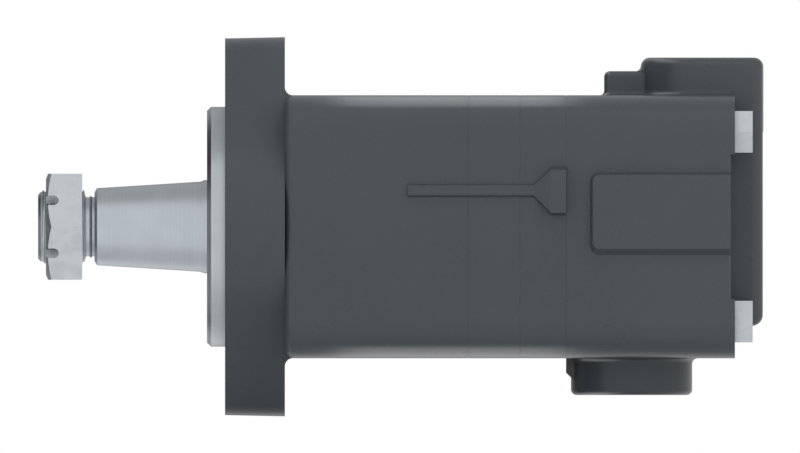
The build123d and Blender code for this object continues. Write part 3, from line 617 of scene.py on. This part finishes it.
def turned_group():
    """Marks of a lathe tool round the motor's axis: rings along a shaft and circles on its faces."""
    group, steps, given = new_skin("turned_marks", {"Pitch": 0.25 * MM, "Depth": 0.006 * MM})
    where = steps.place()
    parts = steps.parts(where)
    path = steps.math("ADD", parts["X"], steps.distance(parts["Y"], parts["Z"]))
    travel = steps.math("DIVIDE", path, given["Pitch"])
    rings = steps.node(
        "ShaderNodeTexNoise",
        {"W": travel, "Scale": 1.0, "Detail": 2.0},
        noise_dimensions="1D",
    ).outputs["Fac"]
    smear = steps.noise(where, 14 * MM, detail=3.0)
    ring_tone = steps.ramp(rings, *MIDDLE, 0.95, 1.04)
    smear_tone = steps.ramp(smear, *MIDDLE, 0.95, 1.05)
    ring_dull = steps.ramp(rings, *MIDDLE, 0.05, -0.04)
    smear_dull = steps.ramp(smear, *MIDDLE, -0.03, 0.05)
    steps.node(
        "NodeGroupOutput",
        {
            "Colour": steps.shaded(given["Colour"], steps.math("MULTIPLY", ring_tone, smear_tone)),
            "Roughness": steps.math("ADD", ring_dull, smear_dull, given["Roughness"]),
            "Height": steps.math("MULTIPLY", rings, given["Depth"]),
        },
    )
    return group


def mottling_group():
    """Quiet mottling of a plain finish: a change of tone, of gloss and a fine grain."""
    sizes = {"Size": 6 * MM, "Grain Size": 0.3 * MM, "Depth": 0.01 * MM}
    group, steps, given = new_skin("mottling", sizes)
    where = steps.place()
    patches = steps.noise(where, given["Size"], detail=3.0)
    grain = steps.noise(where, given["Grain Size"], detail=1.5)
    patch_tone = steps.ramp(patches, *MIDDLE, 0.92, 1.06)
    grain_tone = steps.ramp(grain, *MIDDLE, 0.97, 1.03)
    dull = steps.ramp(patches, *MIDDLE, -0.05, 0.07)
    steps.node(
        "NodeGroupOutput",
        {
            "Colour": steps.shaded(given["Colour"], steps.math("MULTIPLY", patch_tone, grain_tone)),
            "Roughness": steps.math("ADD", given["Roughness"], dull),
            "Height": steps.math("MULTIPLY", grain, given["Depth"]),
        },
    )
    return group


def new_material(name):
    """Empty material with its steps and its shader."""
    material = bpy.data.materials.new(name)
    material.use_nodes = True
    material.node_tree.nodes.clear()
    steps = Steps(material.node_tree)
    shader = steps.node("ShaderNodeBsdfPrincipled")
    steps.node("ShaderNodeOutputMaterial", {"Surface": shader.outputs[0]})
    return material, steps, shader


def join_shader(steps, shader, colour, roughness, height):
    """Wire a finish's colour, roughness and height to the shader."""
    bump = steps.node("ShaderNodeBump", {"Strength": 1.0, "Distance": 1.0, "Height": height})
    steps.wire(shader, {"Base Color": colour, "Roughness": roughness, "Normal": bump.outputs[0]})


def use_group(steps, name, make, **inputs):
    """Place a shader group in a material with its own values. The group is built the first time."""
    named = {key.replace("_", " ").title(): value for key, value in inputs.items()}
    group = bpy.data.node_groups.get(name) or make()
    return steps.node("ShaderNodeGroup", named, node_tree=group).outputs


def plain_material(name, colour):
    """Finish with quiet mottling, for parts that are neither painted nor turned."""
    finish = PLAIN_FINISHES[name]
    material, steps, shader = new_material(name)
    skin = use_group(
        steps,
        "mottling",
        mottling_group,
        colour=rgba(colour),
        size=finish["patches"],
        grain_size=finish["grain"],
        depth=finish["depth"],
        roughness=finish["roughness"],
    )
    shader.inputs["Metallic"].default_value = finish["metallic"]
    join_shader(steps, shader, skin["Colour"], skin["Roughness"], skin["Height"])
    return material


def turned_skin(steps, colour, roughness, metal):
    """Lathe marks in a colour and a roughness."""
    return use_group(
        steps,
        "turned_marks",
        turned_group,
        colour=colour,
        pitch=metal.tool_pitch,
        depth=metal.tool_depth,
        roughness=roughness,
    )


def turned_material(name, metal, roughness, shade=1.0):
    """Bare steel that came off a lathe."""
    material, steps, shader = new_material(name)
    skin = turned_skin(steps, rgba(metal.steel, shade), roughness, metal)
    shader.inputs["Metallic"].default_value = 1.0
    join_shader(steps, shader, skin["Colour"], skin["Roughness"], skin["Height"])
    return material


def painted_material(paint, metal):
    """Enamel on cast iron, with the pilot and the port bores left bare where they are machined."""
    material, steps, shader = new_material("enamelled_casting")
    enamel = use_group(
        steps,
        "cast_skin",
        cast_skin_group,
        colour=rgba(paint.colour),
        sand_size=paint.sand_size,
        sand_depth=paint.sand_depth,
        peel_size=paint.peel_size,
        roughness=paint.roughness,
    )
    bare = turned_skin(steps, rgba(metal.iron), metal.iron_roughness, metal)
    parts = steps.parts(steps.place())
    machined = [steps.math("LESS_THAN", parts["X"], PILOT_BEFORE)]
    for name in PORTS:
        port = mount(name)
        centre = port["pos_m"]
        reach = port["dims"]["r_mm"] * MM + PORT_RIM
        distance = steps.distance(steps.math("SUBTRACT", parts["X"], centre[0]), parts["Y"])
        inside = steps.math("LESS_THAN", distance, reach)
        outward = steps.math("MULTIPLY", parts["Z"], math.copysign(1.0, centre[2]))
        beyond = steps.math("GREATER_THAN", outward, PORT_BEYOND)
        machined.append(steps.math("MULTIPLY", inside, beyond))
    bared = steps.math("MAXIMUM", *machined)
    colour = steps.mix_colours(bared, enamel["Colour"], bare["Colour"])
    roughness = steps.mix_numbers(bared, enamel["Roughness"], bare["Roughness"])
    height = steps.mix_numbers(bared, enamel["Height"], bare["Height"])
    steps.wire(shader, {"Metallic": bared, "Specular IOR Level": PAINT_SPECULAR})
    join_shader(steps, shader, colour, roughness, height)
    return material


def slot_lightened_material(zinc, metal):
    """Pale, dull zinc in the nut's slots: unpolished plating, and painted light in their shade."""
    material = zinc.copy()
    material.name = "slotted_zinc"
    steps = Steps(material.node_tree)
    shader = next(node for node in steps.tree.nodes if node.type == "BSDF_PRINCIPLED")
    polished = shader.inputs["Base Color"].links[0].from_socket
    parts = steps.parts(steps.place())
    slots = []
    for turn in range(NUT_SLOTS):
        angle = math.pi / NUT_SLOTS * turn
        flat = steps.math("MULTIPLY", parts["Y"], math.cos(angle))
        upright = steps.math("MULTIPLY", parts["Z"], math.sin(angle))
        slots.append(steps.math("ABSOLUTE", steps.math("ADD", flat, upright)))
    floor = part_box("shaft_nut")[0].x + metal.slot_depth + SLOT_FLOOR_MARGIN
    between_walls = steps.math(
        "LESS_THAN", steps.math("MINIMUM", *slots), metal.slot_width / 2 + SLOT_WALL_MARGIN
    )
    inside = steps.math("MULTIPLY", between_walls, steps.math("LESS_THAN", parts["X"], floor))
    # Painted light: in the slots the zinc turns pale and dull, so they read lit where shade falls
    pale = steps.mix_colours(inside, polished, rgba(metal.zinc, SLOT_SHADE))
    dull = steps.ramp(inside, 0.0, 1.0, 1.0, SLOT_METALLIC)
    steps.wire(shader, {"Base Color": pale, "Metallic": dull})
    return material


def dress(names, material):
    """Give CAD pieces one material and smooth shading over their gentle angles."""
    for name in names:
        piece = frame["nodes"][name]
        piece.data.materials.clear()
        piece.data.materials.append(material)
        weld = piece.modifiers.new("weld", "WELD")
        weld.merge_threshold = WELD_GAP
        piece.data.shade_smooth()
        split = piece.modifiers.new("crease", "EDGE_SPLIT")
        split.split_angle = CREASE


def new_shape(name, sizes, counts):
    """Empty geometry tree whose named inputs are sizes, counts and a material."""
    tree = bpy.data.node_groups.new(name, "GeometryNodeTree")
    face = tree.interface
    face.new_socket("Geometry", in_out="OUTPUT", socket_type="NodeSocketGeometry")
    for kind, defaults in (("NodeSocketFloat", sizes), ("NodeSocketInt", counts)):
        for label, default in defaults.items():
            face.new_socket(label, in_out="INPUT", socket_type=kind).default_value = default
    face.new_socket("Material", in_out="INPUT", socket_type="NodeSocketMaterial")
    steps = Steps(tree)
    return tree, steps, steps.node("NodeGroupInput").outputs


def sweep_strip(steps, given, path, widths, height, middle, turn, scale=1.0, caps=False):
    """Sweep a tapered strip along a path, make it a plain mesh, give it its material and end the tree."""
    foot, crest = widths
    profile = steps.node(
        "GeometryNodeCurvePrimitiveQuadrilateral",
        {"Bottom Width": foot, "Top Width": crest, "Height": height, "Offset": 0.0},
        mode="TRAPEZOID",
    ).outputs[0]
    lift = steps.node("ShaderNodeCombineXYZ", {1: middle}).outputs[0]
    moved = steps.node("GeometryNodeTransform", {"Geometry": profile, "Translation": lift}).outputs[0]
    facing = steps.node("ShaderNodeCombineXYZ", {2: turn}).outputs[0]
    strip = steps.node("GeometryNodeTransform", {"Geometry": moved, "Rotation": facing}).outputs[0]
    upright = steps.node("GeometryNodeSetCurveNormal", {0: path}, mode="Z_UP").outputs[0]
    swept = steps.node(
        "GeometryNodeCurveToMesh",
        {"Curve": upright, "Profile Curve": strip, "Scale": scale, "Fill Caps": caps},
    ).outputs[0]
    plain = steps.node("GeometryNodeRealizeInstances", {0: swept}).outputs[0]
    finish = {"Geometry": plain, "Material": given["Material"]}
    steps.node("NodeGroupOutput", {"Geometry": steps.node("GeometryNodeSetMaterial", finish).outputs[0]})


def thread_tree():
    """Geometry tree for a thread: a ridge wound round a cylinder, facing outwards at 1 and inwards at -1."""
    sizes = {
        "Radius": 12 * MM,
        "Pitch": 1.27 * MM,
        "Length": 10 * MM,
        "Depth": 0.7 * MM,
        "Lead Turns": 0.6,
        "Facing": 1.0,
    }
    tree, steps, given = new_shape("wound_thread", sizes, {"Steps Each Turn": 56})
    turns = steps.math("DIVIDE", given["Length"], given["Pitch"])
    spiral = steps.node(
        "GeometryNodeCurveSpiral",
        {
            "Resolution": given["Steps Each Turn"],
            "Rotations": turns,
            "Start Radius": given["Radius"],
            "End Radius": given["Radius"],
            "Height": given["Length"],
        },
    ).outputs[0]
    foot = steps.math("MULTIPLY", given["Pitch"], RIDGE_FOOT)
    crest = steps.math("MULTIPLY", given["Pitch"], RIDGE_CREST)
    sunk = steps.math("MULTIPLY", given["Depth"], RIDGE_SUNK)
    height = steps.math("ADD", given["Depth"], sunk)
    middle = steps.math("MULTIPLY", steps.math("SUBTRACT", given["Depth"], sunk), 0.5)
    quarter = steps.math("MULTIPLY", given["Facing"], math.pi / 2)
    along = steps.math("MULTIPLY", steps.node("GeometryNodeSplineParameter").outputs["Factor"], turns)
    left = steps.math("SUBTRACT", turns, along)
    rise = steps.ramp(along, 0.0, given["Lead Turns"], RIDGE_END)
    fall = steps.ramp(left, 0.0, given["Lead Turns"], RIDGE_END)
    scale = steps.math("MULTIPLY", rise, fall)
    sweep_strip(steps, given, spiral, (foot, crest), height, middle, quarter, scale, caps=True)
    return tree


def bead_tree():
    """Geometry tree for the enamel in a joint: a tapered strip laid round a square with rounded corners."""
    sizes = {"Side": 90 * MM, "Corner": 12.6 * MM, "Width": 0.6 * MM, "Depth": 0.3 * MM, "Hollow": 0.06 * MM}
    tree, steps, given = new_shape("joint_bead", sizes, {"Corner Steps": 12})
    side = given["Side"]
    square = steps.node("GeometryNodeCurvePrimitiveQuadrilateral", {0: side, 1: side}).outputs[0]
    rounded = steps.node(
        "GeometryNodeFilletCurve",
        {"Curve": square, "Count": given["Corner Steps"], "Radius": given["Corner"]},
        mode="POLY",
    ).outputs[0]
    share = steps.math("SUBTRACT", 1.0, steps.math("DIVIDE", given["Hollow"], given["Depth"]))
    filled = steps.math("MULTIPLY", share, BEAD_HEIGHT, given["Depth"])
    foot = steps.math("MULTIPLY", share, BEAD_FOOT, given["Width"])
    crest = steps.math("MULTIPLY", share, BEAD_CREST, given["Width"])
    below = steps.math("ADD", given["Hollow"], steps.math("MULTIPLY", filled, 0.5))
    middle = steps.math("MULTIPLY", below, -1.0)
    sweep_strip(steps, given, rounded, (foot, crest), filled, middle, -math.pi / 2)
    return tree


def cut_off(mesh, station):
    """Cut a closed mesh off square at a station along the shaft and close the cut."""
    shell = bmesh.new()
    shell.from_mesh(mesh)
    cut = bmesh.ops.bisect_plane(
        shell,
        geom=shell.verts[:] + shell.edges[:] + shell.faces[:],
        plane_co=(station, 0, 0),
        plane_no=(1, 0, 0),
        clear_outer=True,
        dist=CUT_GAP,
    )
    rim = [part for part in cut["geom_cut"] if isinstance(part, bmesh.types.BMEdge)]
    bmesh.ops.edgenet_fill(shell, edges=rim, mat_nr=0, use_smooth=False)
    shell.to_mesh(mesh)
    shell.free()


def grown_piece(name, tree, inputs, body, start, direction):
    """Grow one piece from a geometry tree, turn it to a plain mesh and set it in place."""
    source = add_object(name + "_source", bpy.data.meshes.new(name + "_source"))
    growth = source.modifiers.new("growth", "NODES")
    growth.node_group = tree
    for item in tree.interface.items_tree:
        if item.in_out == "INPUT" and item.name in inputs:
            growth[item.identifier] = inputs[item.name]
    bpy.context.view_layer.update()
    mesh = bpy.data.meshes.new_from_object(source.evaluated_get(bpy.context.evaluated_depsgraph_get()))
    bpy.data.objects.remove(source)
    mesh.name = name
    if not mesh.polygons:
        raise RuntimeError(f"{name} came out empty")
    turn = Vector((0, 0, 1)).rotation_difference(Vector(direction)).to_matrix().to_4x4()
    mesh.transform(Matrix.Translation(start) @ turn)
    piece = add_object(name, mesh)
    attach(piece, body)
    return piece


class MOTOR_OT_castings(bpy.types.Operator):
    """Paint the four castings and leave their machined faces bare"""

    bl_idname = "motor.castings"
    bl_label = "Castings"

    def execute(self, context):
        scene = context.scene
        dress(CASTINGS, painted_material(scene.motor_paint, scene.motor_metal))
        return {"FINISHED"}


class MOTOR_OT_shaft(bpy.types.Operator):
    """Finish the turned output shaft and its key"""

    bl_idname = "motor.shaft"
    bl_label = "Output shaft"

    def execute(self, context):
        metal = context.scene.motor_metal
        dress(("output_shaft",), turned_material("turned_shaft", metal, roughness=0.36))
        dress(("shaft_key",), plain_material("ground_key", metal.steel))
        return {"FINISHED"}


class MOTOR_OT_fasteners(bpy.types.Operator):
    """Plate the nut, the cap screws and the drain plug"""

    bl_idname = "motor.fasteners"
    bl_label = "Nut and screws"

    def execute(self, context):
        metal = context.scene.motor_metal
        zinc = plain_material("zinc_plate", metal.zinc)
        dress(("housing_bolts", "drain_plug"), zinc)
        dress(("shaft_nut",), slot_lightened_material(zinc, metal))
        return {"FINISHED"}


class MOTOR_OT_bearings(bpy.types.Operator):
    """Finish the bearings, their cages and the washers"""

    bl_idname = "motor.bearings"
    bl_label = "Bearings"

    def execute(self, context):
        metal = context.scene.motor_metal
        dress(BEARINGS, turned_material("bearing_steel", metal, roughness=0.2, shade=1.1))
        dress(CAGES, plain_material("moulded_cage", metal.cage))
        return {"FINISHED"}


class MOTOR_OT_rotor_set(bpy.types.Operator):
    """Finish the rotor, its rollers and the links"""

    bl_idname = "motor.rotor_set"
    bl_label = "Rotor set"

    def execute(self, context):
        dress(DRIVE + ROLLERS, plain_material("ground_steel", context.scene.motor_metal.steel))
        return {"FINISHED"}


class MOTOR_OT_valve_set(bpy.types.Operator):
    """Finish the wear plate, the valve disc and the balance ring"""

    bl_idname = "motor.valve_set"
    bl_label = "Valve set"

    def execute(self, context):
        dress(VALVE, turned_material("lapped_steel", context.scene.motor_metal, roughness=0.22))
        return {"FINISHED"}


class MOTOR_OT_seals(bpy.types.Operator):
    """Finish the rubber seals"""

    bl_idname = "motor.seals"
    bl_label = "Seals"

    def execute(self, context):
        dress(SEALS, plain_material("nitrile_rubber", context.scene.motor_metal.rubber))
        return {"FINISHED"}


class MOTOR_OT_threads(bpy.types.Operator):
    """Wind the threads of the shaft's end and of the two ports"""

    bl_idname = "motor.threads"
    bl_label = "Threads"

    def execute(self, context):
        threads = context.scene.motor_threads
        tree = thread_tree()
        bare = plain_material("thread_steel", context.scene.motor_metal.steel)
        shared = {"Material": bare, "Lead Turns": threads.lead_turns}
        pitch = threads.shaft_pitch
        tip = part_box("output_shaft")[0].x
        inputs = shared | {
            "Radius": threads.shaft_core,
            "Pitch": pitch,
            "Length": threads.shaft_length + pitch,
            "Depth": pitch * threads.depth_share,
            "Facing": 1.0,
        }
        start = Vector((tip + SHAFT_START * pitch, 0, 0))
        winding = grown_piece("shaft_thread", tree, inputs, "shaft", start, (1, 0, 0))
        cut_off(winding.data, tip + threads.shaft_length - SHAFT_CLEARANCE)
        pitch = threads.port_pitch
        low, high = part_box("valve_housing")
        for name in PORTS:
            port = mount(name)
            outward = Vector(port["axis"])
            length = port["dims"]["length_mm"] * MM
            mouth = Vector(port["pos_m"])
            mouth.z = high.z if outward.z > 0 else low.z
            inputs = shared | {
                "Radius": port["dims"]["r_mm"] * MM,
                "Pitch": pitch,
                "Length": length - PORT_SHORTER * pitch,
                "Depth": pitch * threads.depth_share,
                "Facing": -1.0,
            }
            start = mouth - outward * (length - pitch)
            grown_piece(name + "_thread", tree, inputs, "housing", start, outward)
        return {"FINISHED"}


class MOTOR_OT_joints(bpy.types.Operator):
    """Lay the enamel in the three joints between the body's sections"""

    bl_idname = "motor.joints"
    bl_label = "Joints"

    def execute(self, context):
        joints = context.scene.motor_joints
        low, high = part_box("geroler_ring")
        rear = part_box("valve_plate")[1].x
        inputs = {
            "Material": bpy.data.materials["enamelled_casting"],
            "Side": high.z - low.z,
            "Corner": joints.corner,
            "Width": joints.groove_width,
            "Depth": joints.groove_depth,
            "Hollow": joints.hollow,
        }
        tree = bead_tree()
        for name, station in zip(BEADS, (low.x, high.x, rear)):
            start = Vector((station, 0, 0))
            bead = grown_piece(name, tree, inputs, "housing", start, (1, 0, 0))
            bead.data.set_sharp_from_angle(angle=CREASE)
        return {"FINISHED"}


class MOTOR_OT_stage(bpy.types.Operator):
    """Set up the white studio, its lamps and the side-on camera"""

    bl_idname = "motor.stage"
    bl_label = "Studio"

    def execute(self, context):
        stage = context.scene.motor_stage
        low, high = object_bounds()
        centre = (low + high) / 2
        add_floor(low.z - stage.floor_gap, stage.floor_colour)
        add_world(stage)
        for name, width, offset in LAMPS:
            power = getattr(stage, name + "_power")
            add_lamp(name + "_lamp", power, width, centre + Vector(offset), centre).visible_glossy = False
        add_panels(stage, centre)
        add_camera()
        context.scene.view_settings.view_transform = "Standard"
        return {"FINISHED"}


def add_floor(height, colour):
    """Broad pale floor under the motor, which gloss sees through to the white surroundings."""
    mesh = bpy.data.meshes.new("studio_floor")
    corners = [(x * FLOOR_HALF, y * FLOOR_HALF, height) for x, y in ((-1, -1), (1, -1), (1, 1), (-1, 1))]
    mesh.from_pydata(corners, [], [(0, 1, 2, 3)])
    floor = add_object("studio_floor", mesh)
    material, steps, shader = new_material("pale_floor")
    steps.wire(shader, {"Base Color": rgba(colour), "Roughness": 0.7})
    mesh.materials.append(material)
    floor.visible_glossy = False
    floor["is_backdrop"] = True


def add_world(stage):
    """White surroundings for the camera, white with five grey areas for gloss, and even light otherwise."""
    world = bpy.data.worlds.new("studio_white")
    bpy.context.scene.world = world
    world.use_nodes = True
    world.node_tree.nodes.clear()
    steps = Steps(world.node_tree)
    parts = steps.parts(steps.node("ShaderNodeTexCoord").outputs["Generated"])
    grey = {}
    for card, fades in GREY_AREAS.items():
        ramps = [steps.ramp(parts[part], *fade) for part, *fade in fades]
        grey[card] = steps.math("MULTIPLY", getattr(stage, card), *ramps)
    upright = steps.math("MAXIMUM", grey["front_card"], grey["back_card"], grey["corner_card"])
    white = steps.math("SUBTRACT", 1.0, upright, grey["top_card"], grey["floor_card"], clamp=True)
    path = steps.node("ShaderNodeLightPath").outputs
    gloss = steps.math("MAXIMUM", path["Is Glossy Ray"], path["Is Transmission Ray"])
    unseen = steps.mix_numbers(gloss, stage.ambient, white)
    level = steps.mix_numbers(path["Is Camera Ray"], unseen, 1.0)
    shown = steps.node("ShaderNodeBackground", {"Color": (1.0, 1.0, 1.0, 1.0), "Strength": level})
    steps.node("ShaderNodeOutputWorld", {"Surface": shown.outputs[0]})


def add_lamp(name, power, width, place, target):
    """Square lamp that faces a place on the motor."""
    lamp = bpy.data.lights.new(name, "AREA")
    lamp.energy = power
    lamp.size = width
    holder = add_object(name, lamp)
    holder.location = place
    holder.rotation_euler = (target - place).to_track_quat("-Z", "Y").to_euler()
    holder.visible_camera = False
    return holder


def add_panels(stage, centre):
    """Two broad and two small panels, above and below, that only the enamel's gloss reflects."""
    enamelled = bpy.data.collections.new("enamelled_pieces")
    for piece in [frame["nodes"][name] for name in CASTINGS] + [bpy.data.objects[name] for name in BEADS]:
        enamelled.objects.link(piece)
    for name, side in (("above", 1), ("below", -1)):
        flip = Vector((1, 1, side))
        rim = add_lamp("rim_" + name, stage.rim_power, RIM_WIDTH, centre + RIM_OFFSET * flip, centre)
        place = BAND_PLACE * flip
        band = add_lamp("band_" + name, stage.band_power, BAND_WIDTH, place, place * Vector((1, 1, 0)))
        band.data.shape = "RECTANGLE"
        band.data.size_y = BAND_DEPTH
        band.data.spread = BAND_SPREAD
        for panel in (rim, band):
            panel.visible_diffuse = False
            panel.light_linking.receiver_collection = enamelled


def add_camera():
    """Camera square on to the motor's side, framed as the photograph is."""
    camera = bpy.data.cameras.new("side_camera")
    camera.type = "ORTHO"
    camera.ortho_scale = PHOTO_WIDTH_PX * PHOTO_SCALE
    holder = add_object("side_camera", camera)
    across = (PHOTO_WIDTH_PX / 2 - PHOTO_AXIS_PX[0]) * PHOTO_SCALE
    up = (PHOTO_AXIS_PX[1] - PHOTO_HEIGHT_PX / 2) * PHOTO_SCALE
    holder.location = (across, -CAMERA_DISTANCE, up)
    holder.rotation_euler = (math.radians(90), 0, 0)
    bpy.context.scene.camera = holder


GROUPS = (
    ("motor_paint", MotorPaint),
    ("motor_metal", MotorMetal),
    ("motor_threads", MotorThreads),
    ("motor_joints", MotorJoints),
    ("motor_stage", MotorStage),
)
OPERATORS = (
    MOTOR_OT_castings,
    MOTOR_OT_shaft,
    MOTOR_OT_fasteners,
    MOTOR_OT_bearings,
    MOTOR_OT_rotor_set,
    MOTOR_OT_valve_set,
    MOTOR_OT_seals,
    MOTOR_OT_threads,
    MOTOR_OT_joints,
    MOTOR_OT_stage,
)


class MOTOR_PT_looks(bpy.types.Panel):
    """Sidebar panel with the motor's settings and steps"""

    bl_idname = "MOTOR_PT_looks"
    bl_label = "Orbital motor"
    bl_space_type = "VIEW_3D"
    bl_region_type = "UI"
    bl_category = "Motor"

    def draw(self, context):
        for attribute, group in GROUPS:
            box = self.layout.box()
            for name in group.__annotations__:
                box.prop(getattr(context.scene, attribute), name)
        for operator in OPERATORS:
            self.layout.operator(operator.bl_idname)


def register():
    """Register the settings, the operators and the panel."""
    for attribute, group in GROUPS:
        bpy.utils.register_class(group)
        setattr(bpy.types.Scene, attribute, bpy.props.PointerProperty(type=group))
    for operator in OPERATORS:
        bpy.utils.register_class(operator)
    bpy.utils.register_class(MOTOR_PT_looks)


def unregister():
    """Take back what register adds, in the opposite order."""
    bpy.utils.unregister_class(MOTOR_PT_looks)
    for operator in reversed(OPERATORS):
        bpy.utils.unregister_class(operator)
    for attribute, group in reversed(GROUPS):
        delattr(bpy.types.Scene, attribute)
        bpy.utils.unregister_class(group)


def main():
    """Register the add-on and run its steps in order."""
    register()
    for operator in OPERATORS:
        family, step = operator.bl_idname.split(".")
        if getattr(getattr(bpy.ops, family), step)() != {"FINISHED"}:
            raise RuntimeError(f"{operator.bl_label} didn't finish")


if __name__ == "__main__":
    main()
